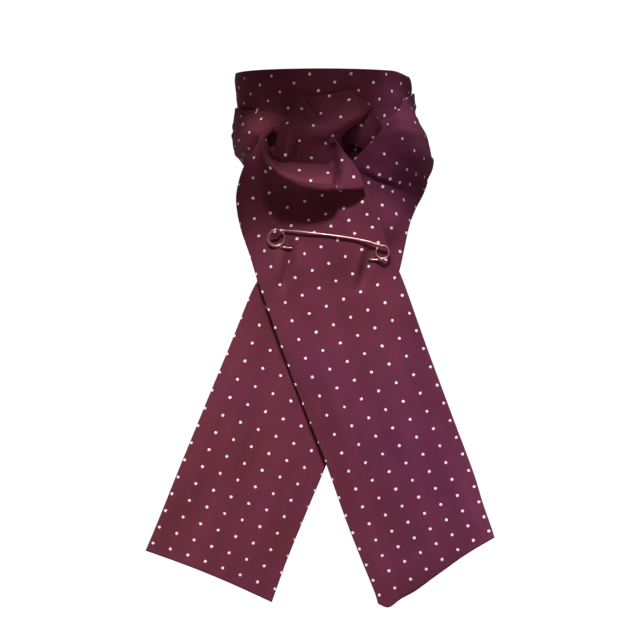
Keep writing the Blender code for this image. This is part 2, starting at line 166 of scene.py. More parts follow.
def shell(name, grid, repeat, thickness, u=None, v=None, closed=False):
    """A thin closed shell round the middle surface, its edges rounded. repeat (n, m, 2) counts the dots' repeats."""
    n = facing(grid, closed)
    rows, cols = grid.shape[:2]
    half = thickness / 2

    def ramp(d):
        k = np.clip(d / half, 0, 1)
        return np.sqrt(np.clip(1 - (1 - k) ** 2, 0, 1))

    if closed:
        pi, ri = np.roll(grid, -1, 0) - grid, np.broadcast_to((repeat[1] - repeat[0])[None], repeat.shape)
    else:
        pi, ri = np.gradient(grid, axis=0), np.gradient(repeat, axis=0)
    pj, rj = np.gradient(grid, axis=1), np.gradient(repeat, axis=1)
    det = ri[..., 0] * rj[..., 1] - ri[..., 1] * rj[..., 0]
    det = np.where(np.abs(det) < 1e-9, 1e-9, det)[..., None]
    ju = (pi * rj[..., 1:2] - pj * ri[..., 1:2]) / det
    jv = (pj * ri[..., 0:1] - pi * rj[..., 0:1]) / det
    metric = np.stack([(ju * ju).sum(-1), (ju * jv).sum(-1), (jv * jv).sum(-1)], -1)
    metric = np.clip(metric, -2500, 2500)
    # Where one chart gives way to another the repeat is squeezed, and no dot is drawn.
    squeezed = metric[..., 0] * metric[..., 2] - metric[..., 1] ** 2 < 45.0**2
    metric[squeezed] = (2500.0, 0.0, 2500.0)
    along, across = lengths(grid)
    width = across[:, -1:]
    w = ramp(across) * ramp(width - across)
    if not closed:
        w = w * ramp(along)[:, None] * ramp(along[-1] - along)[:, None]
    front = grid + n * (w * half)[..., None]
    back = grid - n * (w * half)[..., None]
    index_front = np.arange(rows * cols).reshape(rows, cols)
    index_back = index_front + rows * cols
    rim = np.zeros((rows, cols), bool)
    rim[:, 0] = rim[:, -1] = True
    if not closed:
        rim[0, :] = rim[-1, :] = True
    index_back = np.where(rim, index_front, index_back)
    points = np.concatenate([front.reshape(-1, 3), back.reshape(-1, 3)]) * MM
    points[index_front[rim]] = grid[rim] * MM
    i = np.arange(rows if closed else rows - 1)
    k = (i + 1) % rows
    j = np.arange(cols - 1)
    I, J = np.meshgrid(i, j, indexing="ij")
    K = k[I]

    def quads(index):
        return np.stack([index[I, J], index[I, J + 1], index[K, J + 1], index[K, J]], -1).reshape(-1, 4)

    def corner_uv():
        r = repeat
        if closed:
            r = np.concatenate([repeat, repeat[:1] + closed_shift], 0)
            K2 = I + 1
        else:
            K2 = K
        return np.stack([r[I, J], r[I, J + 1], r[K2, J + 1], r[K2, J]], -2).reshape(-1, 4, 2)

    closed_shift = 0
    if closed:
        closed_shift = repeat[-1] - repeat[0] + (repeat[1] - repeat[0])
    q_front, q_back = quads(index_front), quads(index_back)[:, ::-1]
    uv_front = corner_uv()
    uv_back = uv_front[:, ::-1]
    faces = np.concatenate([q_front, q_back])
    uvs = np.concatenate([uv_front, uv_back])
    used = np.unique(faces)
    remap = np.zeros(len(points), int)
    remap[used] = np.arange(len(used))
    faces = remap[faces]
    points = points[used]
    measure = np.concatenate([metric.reshape(-1, 3)] * 2)[used]
    mesh = bpy.data.meshes.new(name)
    mesh.vertices.add(len(points))
    mesh.vertices.foreach_set("co", points.reshape(-1).astype(np.float32))
    mesh.loops.add(faces.size)
    mesh.loops.foreach_set("vertex_index", faces.reshape(-1).astype(np.int32))
    mesh.polygons.add(len(faces))
    mesh.polygons.foreach_set("loop_start", np.arange(0, faces.size, 4, dtype=np.int32))
    mesh.update(calc_edges=True)
    layer = mesh.uv_layers.new(name="repeat")
    layer.data.foreach_set("uv", uvs.reshape(-1).astype(np.float32))
    stretch = mesh.attributes.new("measure", "FLOAT_VECTOR", "POINT")
    stretch.data.foreach_set("vector", measure.reshape(-1).astype(np.float32))
    # The front must face outwards whichever way the sections run.
    volume = 0.0
    co = points[faces]
    volume = np.einsum("ij,ij->i", co[:, 0], np.cross(co[:, 1], co[:, 2]) + np.cross(co[:, 2], co[:, 3])).sum()
    if volume < 0:
        mesh.flip_normals()
    mesh.shade_smooth()
    obj = bpy.data.objects.new(name, mesh)
    bpy.context.scene.collection.objects.link(obj)
    return obj


def ring(angle, out, z):
    a = math.radians(angle)
    return ((NECK_HALF_WIDTH + out) * math.sin(a), -(NECK_HALF_DEPTH + out) * math.cos(a), z)


def lattice(grid, at, first, second, slope=0.0):
    """Repeat numbers from two charted steps (x, z) between neighbouring dots; the dot at that place is number 0, 0."""
    rows, cols = grid.shape[:2]
    i, j = rows // 2, cols // 2
    d = np.diff(grid, axis=1)
    step = np.sign(d[..., 0]) * np.hypot(d[..., 0], slope * d[..., 1])
    x = np.concatenate([np.zeros((rows, 1)), np.cumsum(step, 1)], 1)
    x = x - x[:, j : j + 1] + grid[:, j : j + 1, 0]
    d = np.diff(grid, axis=0)
    step = np.sign(d[..., 2]) * np.hypot(d[..., 2], slope * d[..., 1])
    z = np.concatenate([np.zeros((1, cols)), np.cumsum(step, 0)], 0)
    z = z - z[i : i + 1] + grid[i : i + 1, :, 2]
    p = np.stack([x, z], -1) - np.array(at, float)
    return p @ np.linalg.inv(np.array([first, second], float))


def pleated(grid, v, u, rows):
    """Long soft pleats along a wrap: (across, from, to, half width, height, drift across), all as fractions but the height."""
    n = facing(grid)
    outward = grid[..., 0:1] * n[..., 0:1] + grid[..., 1:2] * n[..., 1:2]
    n = n * np.where(outward < 0, -1.0, 1.0)
    lift = np.zeros(grid.shape[:2])
    for middle, start, end, half_width, height, drift in rows:
        t = np.clip((v - start) / (end - start), 0, 1)
        fade = np.sin(math.pi * t) ** 0.6
        away = u[None, :] - (middle + drift * np.sin(2.6 * t))[:, None]
        lift += height * fade[:, None] * np.exp(-((away / half_width) ** 2))
    return grid + n * lift[..., None]


def span(left, right, crown, at=(0.0, 0.25, 0.5, 0.75, 1.0)):
    a, b = np.array(left, float), np.array(right, float)
    points = []
    for u in at:
        p = a + (b - a) * u
        p[1] -= crown * math.sin(math.pi * u) ** 0.8
        points.append(p)
    return points


def turned_repeat(along, across, angle, at, number=(0.0, 0.0), pitch=PITCH):
    """Repeat numbers of a square lattice turned by an angle on the cloth; the place at has that repeat number."""
    a = math.radians(angle)
    x, y = (along - at[0]) / pitch, (across - at[1]) / pitch
    return np.stack([x * math.cos(a) + y * math.sin(a) + number[0], -x * math.sin(a) + y * math.cos(a) + number[1]], -1)


# ------------------------------------------------------------------------------------------------------ materials
def node(tree, kind, **values):
    made = tree.nodes.new(kind)
    for key, value in values.items():
        setattr(made, key, value)
    return made


def maths(tree, operation, a, b=None, c=None, clamp=False):
    made = node(tree, "ShaderNodeMath", operation=operation, use_clamp=clamp)
    for k, value in enumerate((a, b, c)):
        if value is None:
            continue
        if isinstance(value, (int, float)):
            made.inputs[k].default_value = value
        else:
            tree.links.new(value, made.inputs[k])
    return made.outputs[0]


def mixed(tree, factor, a, b):
    made = node(tree, "ShaderNodeMix", data_type="RGBA")
    for key, value in ((0, factor), (6, a), (7, b)):
        if isinstance(value, (int, float)):
            made.inputs[key].default_value = value
        elif isinstance(value, tuple):
            made.inputs[key].default_value = value
        else:
            tree.links.new(value, made.inputs[key])
    return made.outputs[2]


def cloth_material(name, base=(0.125, 0.0260, 0.049), warm=(0.122, 0.026, 0.034), cool_dye_and_painted_light=(0.112, 0.0240, 0.064), dot=0.90):
    m = bpy.data.materials.new(name)
    m.use_nodes = True
    t = m.node_tree
    shader = t.nodes["Principled BSDF"]
    uv = node(t, "ShaderNodeUVMap", uv_map="repeat").outputs[0]
    place = node(t, "ShaderNodeTexCoord").outputs["Object"]
    # Slow random drift of the dye between a browner and a bluer burgundy; on top of it is painted light, the bluer
    # burgundy growing steadily towards the right (+X) as a cooler light from that side would tint it.
    drift = node(t, "ShaderNodeTexNoise")
    drift.inputs["Scale"].default_value = 16.0
    drift.inputs["Detail"].default_value = 2.0
    t.links.new(place, drift.inputs["Vector"])
    ramp = maths(t, "MULTIPLY_ADD", drift.outputs["Fac"], 3.0, -1.0, clamp=True)
    drift2 = node(t, "ShaderNodeTexNoise")
    drift2.inputs["Scale"].default_value = 11.0
    drift2.inputs["Detail"].default_value = 1.5
    shift = node(t, "ShaderNodeVectorMath", operation="ADD")
    shift.inputs[1].default_value = (3.1, 7.7, 1.3)
    t.links.new(place, shift.inputs[0])
    t.links.new(shift.outputs[0], drift2.inputs["Vector"])
    where = node(t, "ShaderNodeSeparateXYZ")
    t.links.new(place, where.inputs[0])
    cool_drift_and_painted_right_tint = maths(t, "MULTIPLY_ADD", drift2.outputs["Fac"], 2.4, -0.95)
    # Painted light tint: the place across (X) pushes the mix on towards the bluer burgundy at the right side.
    cool_drift_and_painted_right_tint = maths(t, "ADD", cool_drift_and_painted_right_tint, maths(t, "MULTIPLY", where.outputs[0], 7.0), clamp=True)
    colour = mixed(t, maths(t, "MULTIPLY", ramp, 0.55), (*base, 1), (*warm, 1))
    colour = mixed(t, maths(t, "MULTIPLY", cool_drift_and_painted_right_tint, 0.7), colour, (*cool_dye_and_painted_light, 1))
    # Fine twill: diagonal threads, about four to the millimetre.
    scaled = node(t, "ShaderNodeVectorMath", operation="SCALE")
    scaled.inputs["Scale"].default_value = PITCH
    t.links.new(uv, scaled.inputs[0])
    split = node(t, "ShaderNodeSeparateXYZ")
    t.links.new(scaled.outputs[0], split.inputs[0])
    diagonal = maths(t, "ADD", split.outputs[0], split.outputs[1])
    twill = maths(t, "SINE", maths(t, "MULTIPLY", diagonal, 2 * math.pi * 1.55))
    cross = maths(t, "SINE", maths(t, "MULTIPLY", split.outputs[0], 2 * math.pi * 2.6))
    down = maths(t, "SINE", maths(t, "MULTIPLY", split.outputs[1], 2 * math.pi * 2.6))
    threads = maths(t, "ADD", maths(t, "MULTIPLY", twill, 0.6), maths(t, "MULTIPLY", maths(t, "MULTIPLY", cross, down), 0.4))
    grain = node(t, "ShaderNodeTexNoise")
    grain.inputs["Scale"].default_value = 2600.0
    grain.inputs["Detail"].default_value = 2.0
    t.links.new(place, grain.inputs["Vector"])
    value = maths(t, "ADD", maths(t, "MULTIPLY", threads, 0.045), maths(t, "MULTIPLY", grain.outputs["Fac"], 0.16))
    # Painted sheen and fold shade: the base colour turns lighter and darker in long soft streaks down the cloth, where
    # the satin would take the light.
    drawn = node(t, "ShaderNodeVectorMath", operation="MULTIPLY")
    drawn.inputs[1].default_value = (0.42, 0.06, 1.0)
    t.links.new(uv, drawn.inputs[0])
    painted_sheen_streaks = node(t, "ShaderNodeTexNoise")
    painted_sheen_streaks.inputs["Scale"].default_value = 1.7
    painted_sheen_streaks.inputs["Detail"].default_value = 2.5
    t.links.new(drawn.outputs[0], painted_sheen_streaks.inputs["Vector"])
    value = maths(t, "ADD", value, maths(t, "MULTIPLY_ADD", painted_sheen_streaks.outputs["Fac"], 0.62, 0.61))
    colour_with_weave_and_painted_sheen = node(t, "ShaderNodeVectorMath", operation="SCALE")
    t.links.new(colour, colour_with_weave_and_painted_sheen.inputs[0])
    t.links.new(value, colour_with_weave_and_painted_sheen.inputs["Scale"])
    # Woven dots: one at each crossing of the repeat, a little uneven in outline and place.
    wobble = node(t, "ShaderNodeTexNoise")
    wobble.inputs["Scale"].default_value = 5.0
    wobble.inputs["Detail"].default_value = 2.0
    t.links.new(uv, wobble.inputs["Vector"])
    off = node(t, "ShaderNodeVectorMath", operation="MULTIPLY_ADD")
    off.inputs[1].default_value = (0.055, 0.055, 0.0)
    t.links.new(wobble.outputs["Color"], off.inputs[0])
    t.links.new(uv, off.inputs[2])
    moved = node(t, "ShaderNodeVectorMath", operation="ADD")
    moved.inputs[1].default_value = (0.5 - 0.0275, 0.5 - 0.0275, 0.0)
    t.links.new(off.outputs[0], moved.inputs[0])
    fract = node(t, "ShaderNodeVectorMath", operation="FRACTION")
    t.links.new(moved.outputs[0], fract.inputs[0])
    centred = node(t, "ShaderNodeVectorMath", operation="SUBTRACT")
    centred.inputs[1].default_value = (0.5, 0.5, 0.0)
    t.links.new(fract.outputs[0], centred.inputs[0])
    # A dot keeps its size where the cloth is drawn out: its distance is measured on the cloth, in mm.
    place_in = node(t, "ShaderNodeSeparateXYZ")
    t.links.new(centred.outputs[0], place_in.inputs[0])
    du, dv = place_in.outputs[0], place_in.outputs[1]
    measure = node(t, "ShaderNodeSeparateXYZ")
    t.links.new(node(t, "ShaderNodeAttribute", attribute_name="measure").outputs["Vector"], measure.inputs[0])
    square = maths(t, "ADD", maths(t, "MULTIPLY", measure.outputs[0], maths(t, "MULTIPLY", du, du)),
                   maths(t, "MULTIPLY", measure.outputs[2], maths(t, "MULTIPLY", dv, dv)))
    square = maths(t, "ADD", square, maths(t, "MULTIPLY", maths(t, "MULTIPLY", measure.outputs[1], 2.0), maths(t, "MULTIPLY", du, dv)))
    edge = node(t, "ShaderNodeMapRange", interpolation_type="SMOOTHSTEP")
    edge.inputs["From Min"].default_value = dot * 1.14
    edge.inputs["From Max"].default_value = dot * 0.80
    t.links.new(maths(t, "SQRT", maths(t, "MAXIMUM", square, 0.0)), edge.inputs["Value"])
    spot = edge.outputs[0]
    # The dot's threads float in short parallel stitches.
    stitch = maths(t, "SINE", maths(t, "MULTIPLY", split.outputs[0], 2 * math.pi * 3.4))
    dot_value = maths(t, "MULTIPLY_ADD", stitch, 0.05, 0.95)
    dot_colour = node(t, "ShaderNodeVectorMath", operation="SCALE")
    dot_colour.inputs[0].default_value = (0.95, 0.76, 0.79)
    t.links.new(dot_value, dot_colour.inputs["Scale"])
    final = mixed(t, spot, colour_with_weave_and_painted_sheen.outputs[0], dot_colour.outputs[0])
    t.links.new(final, shader.inputs["Base Color"])
    rough = maths(t, "MULTIPLY_ADD", grain.outputs["Fac"], 0.12, 0.46)
    rough = maths(t, "ADD", rough, maths(t, "MULTIPLY", spot, 0.12))
    t.links.new(rough, shader.inputs["Roughness"])
    shader.inputs["IOR"].default_value = 1.34
    shader.inputs["Specular IOR Level"].default_value = 0.16
    shader.inputs["Specular Tint"].default_value = (1.0, 0.55, 0.66, 1.0)
    shader.inputs["Sheen Weight"].default_value = 0.03
    shader.inputs["Sheen Roughness"].default_value = 0.42
    shader.inputs["Sheen Tint"].default_value = (0.85, 0.42, 0.62, 1.0)
    height = maths(t, "ADD", maths(t, "MULTIPLY", threads, 0.5), maths(t, "MULTIPLY", spot, 2.4))
    height = maths(t, "ADD", height, maths(t, "MULTIPLY", grain.outputs["Fac"], 0.5))
    bump = node(t, "ShaderNodeBump")
    bump.inputs["Strength"].default_value = 0.55
    bump.inputs["Distance"].default_value = 0.00007
    t.links.new(height, bump.inputs["Height"])
    t.links.new(bump.outputs[0], shader.inputs["Normal"])
    return m


def wire_material():
    m = bpy.data.materials.new("rose_wire")
    m.use_nodes = True
    t = m.node_tree
    shader = t.nodes["Principled BSDF"]
    place = node(t, "ShaderNodeTexCoord").outputs["Object"]
    tone = node(t, "ShaderNodeTexNoise")
    tone.inputs["Scale"].default_value = 260.0
    tone.inputs["Detail"].default_value = 3.0
    t.links.new(place, tone.inputs["Vector"])
    colour = mixed(t, tone.outputs["Fac"], (0.47, 0.25, 0.23, 1), (0.74, 0.48, 0.44, 1))
    t.links.new(colour, shader.inputs["Base Color"])
    shader.inputs["Metallic"].default_value = 1.0
    draw = node(t, "ShaderNodeTexNoise")
    draw.inputs["Scale"].default_value = 1500.0
    t.links.new(place, draw.inputs["Vector"])
    t.links.new(maths(t, "MULTIPLY_ADD", draw.outputs["Fac"], 0.18, 0.34), shader.inputs["Roughness"])
    bump = node(t, "ShaderNodeBump")
    bump.inputs["Strength"].default_value = 0.25
    bump.inputs["Distance"].default_value = 0.00003
    t.links.new(draw.outputs["Fac"], bump.inputs["Height"])
    t.links.new(bump.outputs[0], shader.inputs["Normal"])
    return m


CLOTH = cloth_material("burgundy_dotted_cloth")
WIRE = wire_material()
FINE = 1.0


def finish_piece(obj, nodes, slot="cloth"):
    obj.data.materials.append(CLOTH if slot == "cloth" else WIRE)
    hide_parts(*nodes)
    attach(obj, "root")
    return obj


# ------------------------------------------------------------------------------------------------------- neckband
BAND_EDGE = {
    "angle": [0, 50, 73, 90, 115, 150, 180, 220, 250, 270, 310, 360],
    "top": [22.5, 22.4, 20.1, 16.7, 14.5, 16.0, 18.5, 20.5, 22.0, 22.6, 22.6, 22.5],
}
BAND_PROFILE = {"down": [0.0, 0.09, 0.30, 0.55, 1.0], "out": [1.6, 2.0, 1.1, 0.0, -0.4]}


def band_face(angle, z):
    top = smooth_table(BAND_EDGE["angle"], BAND_EDGE["top"], np.mod(angle, 360))
    return smooth_table(BAND_PROFILE["down"], BAND_PROFILE["out"], np.clip((top - z) / (top - BAND_BOTTOM), 0, 1))


BAND_FOLDS = [
    ([(-46, 4), (-28, -2), (-16, -8)], 6.0, -1.2, 2.0),
    ([(-46, 11), (-22, 8), (6, 4), (18, 5)], 4.0, -0.6, 2.0),
    ([(34, 12), (44, 4), (49, -4)], 5.0, 1.0, 2.0),
    ([(-52, 14), (-40, 12)], 2.5, 0.4, 2.0),
]
BAND_BACK_FOLDS = [
    ([(-40, 12), (-20, 9), (2, 11)], 3.0, 0.5, 2.0),
    ([(8, 6), (26, 9), (42, 7)], 3.5, -0.5, 2.0),
]


def neckband():
    # The lattice closes round the ring: 27 repeats one way and 14 the other.
    count = int(360 / FINE)
    angle = -180 + 360 * np.arange(count) / count
    down = steps(45.0, 1.0 * FINE, 0.6)
    A, D = np.meshgrid(angle, down, indexing="ij")
    top = smooth_table(BAND_EDGE["angle"], BAND_EDGE["top"], np.mod(A, 360))
    z = top + (BAND_BOTTOM - top) * D
    r = np.radians(A)
    slack = 0.12 * np.sin(3 * r + 0.6) * np.sin(math.pi * D) + 0.09 * np.sin(7 * r + 2.0 + 2.4 * D) * np.sin(math.pi * D)
    out = band_face(A, z) - 0.75 + slack
    grid = np.stack([(NECK_HALF_WIDTH + out) * np.sin(r), -(NECK_HALF_DEPTH + out) * np.cos(r), z], -1)
    grid = creased(grid, BAND_FOLDS, closed=True)
    grid = creased(grid, BAND_BACK_FOLDS, closed=True, side="back")
    turn = math.degrees(math.atan2(14, 27))
    around = math.hypot(14, 27)
    arc = A / 360 * around * PITCH
    repeat = turned_repeat(arc, z, turn, (-8.4 / 347.5 * around * PITCH, 18.9))
    obj = shell("cloth_neckband", grid, repeat, 1.2, closed=True)
    finish_piece(obj, ["neckband"])
    return obj


# ---------------------------------------------------------------------------------------------------------- wraps
def on_ring(angle, out, z):
    return ring(angle, out + float(band_face(angle, z)), z)


# The left wrap, from the back of the neck to the knot: angle, then (outside the band, height) from top to bottom.
WRAP_LEFT = [
    (-204, (1.6, 1), (1.6, -9), (1.6, -16), (1.6, -24), (1.6, -32)),
    (-192, (1.5, 2), (1.5, -9), (1.5, -17), (1.5, -25), (1.5, -33)),
    (-176, (1.3, 2), (1.5, -9), (1.5, -17), (1.5, -26), (1.4, -34)),
    (-150, (1.4, 2), (1.8, -9), (1.9, -17), (1.8, -26), (1.2, -35)),
    (-120, (1.1, 1.5), (2.0, -10), (2.2, -18), (1.9, -27), (0.6, -35)),
    (-90, (0.75, 1), (2.0, -10), (2.6, -18), (1.6, -27), (-3.5, -34)),
    (-70, (0.75, 0), (3.6, -10), (4.8, -18), (2.6, -26), (-5.0, -33)),
    (-56, (0.8, -2.0), (6.4, -11), (8.0, -18.5), (5.0, -26), (-4.0, -33)),
    (-44, (0.9, -3.0), (7.6, -10.5), (11.0, -18.5), (7.0, -25.5), (-1.0, -33)),
    (-35, (1.4, -4.5), (8.8, -11.0), (12.0, -17.5), (6.0, -24), (-1.0, -31)),
    (-26, (2.4, -7.0), (9.0, -12.0), (10.5, -16.5), (3.0, -23), (-1.0, -29)),
    (-18, (3.6, -10), (7.6, -13.2), (7.4, -17), (2.4, -22), (0.0, -27)),
]
WRAP_LEFT_FOLDS = [
    ([(-53, -6), (-46, -12), (-38, -19)], 2.6, 0.7, 2.0),
    ([(-40, -7), (-33, -10), (-27, -13)], 1.8, 0.6, 2.0),
    ([(-54, -13), (-49, -18), (-44, -21)], 2.0, -0.7, 2.0),
    ([(-46, -27), (-42, -31)], 1.6, 0.7, 2.0),
]
WRAP_BACK_FOLDS = [
    ([(-40, -8), (-20, -12), (4, -10)], 3.0, 0.7, 2.0),
    ([(-44, -22), (-24, -24), (0, -20)], 3.0, -0.6, 2.0),
    ([(6, -16), (26, -20), (44, -14)], 3.4, 0.7, 2.0),
    ([(14, -4), (34, -8), (48, -4)], 2.6, -0.5, 2.0),
]


WRAP_LEFT_PLEATS = [
    (0.22, 0.24, 0.72, 0.050, 0.6, 0.05),
    (0.36, 0.20, 0.60, 0.035, -0.4, 0.02),
    (0.50, 0.30, 0.80, 0.055, 0.7, -0.05),
    (0.70, 0.16, 0.52, 0.035, -0.4, 0.04),
    (0.82, 0.22, 0.64, 0.050, 0.5, -0.03),
]


def wrap_left():
    sections = [[on_ring(a, out, z) for out, z in points] for a, *points in WRAP_LEFT]
    grid, v, u = surface(sections, 0.9 * FINE, 0.6)
    grid = pleated(grid, v, u, WRAP_LEFT_PLEATS)
    grid = creased(grid, WRAP_LEFT_FOLDS)
    grid = creased(grid, [f for f in WRAP_BACK_FOLDS], side="back")
    along, across = lengths(grid)
    S = np.broadcast_to(along[:, None] - along[-1], across.shape)
    repeat = turned_repeat(S, -across, -31.0, (-12.6, -13.2))
    obj = shell("cloth_wrap_left", grid, repeat, 1.1)
    finish_piece(obj, ["wrap_left"])
    return obj


# ----------------------------------------------------------------------------------------------------------- knot
# Left to right in a row, and the rows from the top edge, tucked on the band, down into the rolled fold.
KNOT_FRONT = [
    [(-17, -57.3, 0), (-13, -58.4, 6), (-7.5, -58, 4.8), (1, -58, 6.2), (10, -58, 7.8), (17.5, -57.2, 9.5), (24.5, -55.5, 6)],
    [(-18.5, -60.5, -3.5), (-13, -62.8, 1), (-7.5, -60.8, -1), (1, -61, 0.6), (10, -61.5, 2.6), (18.5, -61.8, 4.6), (26.5, -59, 2.5)],
    [(-22, -63.5, -7), (-15.5, -68.6, -5), (-7, -65.5, -7), (1.5, -66, -5.6), (10.5, -66.8, -3.4), (20, -66.8, -1), (28.5, -62.8, -1.4)],
    [(-25.5, -65.5, -10.5), (-18, -71.5, -10.5), (-9, -71.5, -13.5), (1.5, -72, -12.5), (10.5, -72, -10), (20, -71, -7), (26.5, -67, -5.5)],
    [(-27, -66.5, -16), (-20.5, -73.5, -16.5), (-10.5, -72.5, -19), (-0.5, -73, -18), (9, -73, -15), (17, -72, -11), (23, -68.5, -9.5)],
    [(-28.5, -67, -22), (-21, -74, -23.5), (-12.5, -70.5, -25), (-4, -70, -24.5), (3.5, -70, -21.5), (11.5, -70, -17), (17.5, -68, -13.5)],
    [(-30, -66.5, -28), (-23, -73.5, -29.5), (-15, -69, -32), (-7, -68, -32), (0.5, -68, -29.5), (6, -67, -25.5), (11.5, -66, -19.5)],
    [(-31, -66, -33), (-24, -72.5, -35), (-16, -67.5, -37.5), (-7.5, -67, -37.5), (0.5, -67, -35.5), (6.5, -66, -31.5), (11.5, -64, -26)],
    [(-29, -65, -37), (-23.5, -69, -39.5), (-15.5, -66.3, -42), (-7.5, -66, -42.5), (1, -66, -41), (8, -65, -37), (13, -63, -31)],
]
KNOT_FRONT_FOLDS = [
    ([(-12, 3), (-8.5, -3.5), (-3.5, -10.5)], 0.9, 1.2, 2.0),
    ([(-8.5, 2), (-4.5, -4), (0.5, -9)], 2.0, -1.3, 2.0),
    ([(10, 5), (14, 0), (19, -5)], 2.2, -0.9, 2.0),
    ([(17.5, 7), (21, 1.5), (23, -4)], 1.2, 0.8, 2.0),
    ([(2, -6), (12, -10), (20, -6)], 3.6, 0.7, 2.0),
    ([(-4, -16), (4, -22), (9, -24)], 2.4, 0.6, 2.0),
    ([(-23, -13), (-21.5, -24), (-23.5, -35)], 1.7, 0.9, 2.0),
    ([(-17.5, -12), (-15.5, -24), (-16.5, -34)], 2.2, -1.2, 2.0),
]
# The layer under it on the right, which goes down behind the pouch's folded edge.
KNOT_SIDE = [
    [(16.5, -55.5, 6), (20.5, -55.5, 5), (25, -54, 3.5), (28.5, -50.5, 0), (32, -46, -4)],
    [(17.5, -59, 0), (21.5, -60.8, -1), (26.5, -61, -2.5), (30.5, -57, -5.5), (34.5, -47.5, -9.5)],
    [(17.5, -61.5, -5.5), (21.5, -64.5, -7), (26.5, -65, -8.5), (31.2, -62, -11), (36.5, -50, -15)],
    [(16.5, -61, -11), (20.5, -64, -12.5), (26, -65, -14), (30.8, -63.8, -17), (35.5, -55, -21)],
    [(14, -59.5, -16.5), (18.5, -62, -18), (24, -63.5, -19.5), (28, -62.5, -22), (31.5, -58.5, -26)],
    [(12, -58, -22), (17, -58.8, -23.5), (21, -59.5, -25.5), (24.5, -59, -28), (27, -57.5, -31)],
]
# The rolled fold: hidden upper edge, upper border, face, lip, tucked under; from its tip at the left to its right edge.
KNOT_ROLL = [
    [(-22.5, -52.5, -11.5), (-23, -54.8, -11), (-23.5, -55.6, -10), (-24, -54.8, -9), (-24, -52.5, -8.5)],
    [(-29.5, -55.8, -16.2), (-30.2, -58.8, -15.6), (-31, -59.8, -14.6), (-31.8, -58.8, -13.6), (-32, -56, -13.2)],
    [(-33.6, -59.3, -20), (-34.6, -62.8, -19.5), (-35.8, -63.8, -18.8), (-37, -62.5, -18), (-37.4, -59.8, -17.8)],
    [(-34.5, -62, -22), (-36, -66, -22), (-37.5, -67, -22.5), (-39, -65.5, -24), (-38.5, -62.5, -24.5)],
    [(-32.5, -65, -27.5), (-34, -69.5, -28), (-36, -71, -29), (-38, -69.5, -30), (-37.5, -66, -30.5)],
    [(-31, -67.5, -32.5), (-31.5, -72, -34), (-33, -75, -35.5), (-35, -74.5, -37), (-34, -71, -37.5)],
    [(-26, -68.5, -34.5), (-27, -73.5, -36.5), (-29, -77.5, -39), (-31, -77, -41), (-29.5, -73, -41.5)],
    [(-20, -69.5, -35), (-20.5, -74, -37.5), (-23, -79, -41.5), (-24.5, -79.5, -45), (-23.5, -75, -46)],
    [(-13, -69.5, -36.5), (-13.5, -74.5, -39), (-15.5, -80.5, -44.5), (-16.5, -82, -49.5), (-16, -77.5, -50)],
    [(-6, -69.5, -36.5), (-6, -74.5, -39.5), (-6.5, -81, -45.5), (-7, -83, -51.5), (-6.5, -78, -52.5)],
    [(1, -69.5, -37.5), (1.5, -74.5, -40), (1.5, -81, -46), (1.5, -83, -52.5), (1.5, -78, -53)],
    [(4.5, -70, -39), (5, -74.5, -41.5), (5.5, -80.5, -46.5), (6, -82, -52), (6, -77.5, -52.5)],
    [(6.5, -67, -35), (7.2, -69, -38.5), (8, -73.5, -45.5), (8.5, -79, -52.2), (8.5, -75.5, -52.7)],
    [(7.5, -68, -27.5), (9.5, -70.5, -31.5), (11.5, -76, -41.5), (12.5, -79.3, -51.5), (12.5, -76, -52.5)],
    [(7.5, -69, -23.5), (12, -71.5, -30.5), (16.5, -76, -40), (18.5, -78.3, -51.5), (18.5, -75.3, -52)],
    [(6.5, -70, -21.5), (14, -71.8, -31), (20.5, -74.5, -39.5), (25, -76.2, -50.5), (24.5, -74, -51)],
]
KNOT_ROLL_FOLDS = [
    ([(-39.5, -17), (-37.8, -26), (-34.5, -34), (-26, -43.5), (-14, -49)], 1.1, 0.9, 2.0),
    ([(-36, -22), (-33, -31), (-26, -38), (-16, -43)], 1.5, -0.9, 2.0),
    ([(-24, -43), (-10, -48.5), (3, -49)], 1.6, 0.5, 2.0),
    ([(-20, -40), (-8, -42.5), (2, -43)], 1.6, -0.4, 2.0),
]


def knot():
    grid, v, u = surface(KNOT_FRONT, 0.6 * FINE, 0.5)
    grid = creased(grid, KNOT_FRONT_FOLDS)
    along, across = lengths(grid)
    S = np.broadcast_to(along[:, None], across.shape)
    # Two layers meet at the light fold: each keeps its own lie of the dots, and both share the dot at its top.
    lower = lattice(grid, (-13.4, -3.1), (7.3, -10.4), (-8.5, -8.9))
    upper = lattice(grid, (-13.4, -3.1), (12.0, -2.6), (-5.1, -10.9))
    side_of = 0.834 * (grid[..., 0] + 11.5) + 0.551 * (grid[..., 2] - 2.5)
    k = np.clip(0.5 + side_of / 0.8, 0, 1)[..., None]
    repeat = lower * (1 - k) + upper * k
    front = shell("cloth_knot_front", grid, repeat, 1.0)
    finish_piece(front, ["knot_cross"])

    grid, v, u = surface(KNOT_SIDE, 0.6 * FINE, 0.5)
    along, across = lengths(grid)
    S = np.broadcast_to(along[:, None], across.shape)
    repeat = lattice(grid, (23.2, -12.9), (10.4, 5.5), (-3.3, -12.5), slope=0.4)
    side = shell("cloth_knot_side", grid, repeat, 1.0)
    finish_piece(side, ["knot_cross"])

    grid, v, u = surface(KNOT_ROLL, 0.6 * FINE, 0.5)
    grid = creased(grid, KNOT_ROLL_FOLDS)
    along, across = lengths(grid)
    S = np.broadcast_to(along[:, None], across.shape)
    face = lattice(grid, (-14.7, -41.1), (6.95, -6.4), (10.4, 4.8))
    panel = lattice(grid, (11.5, -34.7), (6.8, -10.3), (11.0, 5.5)) + (1, 3)
    k = np.clip((grid[..., 0] - 6.8) / 0.5, 0, 1)[..., None]
    repeat = face * (1 - k) + panel * k
    roll = shell("cloth_knot_roll", grid, repeat, 1.0)
    finish_piece(roll, ["knot_loop"])


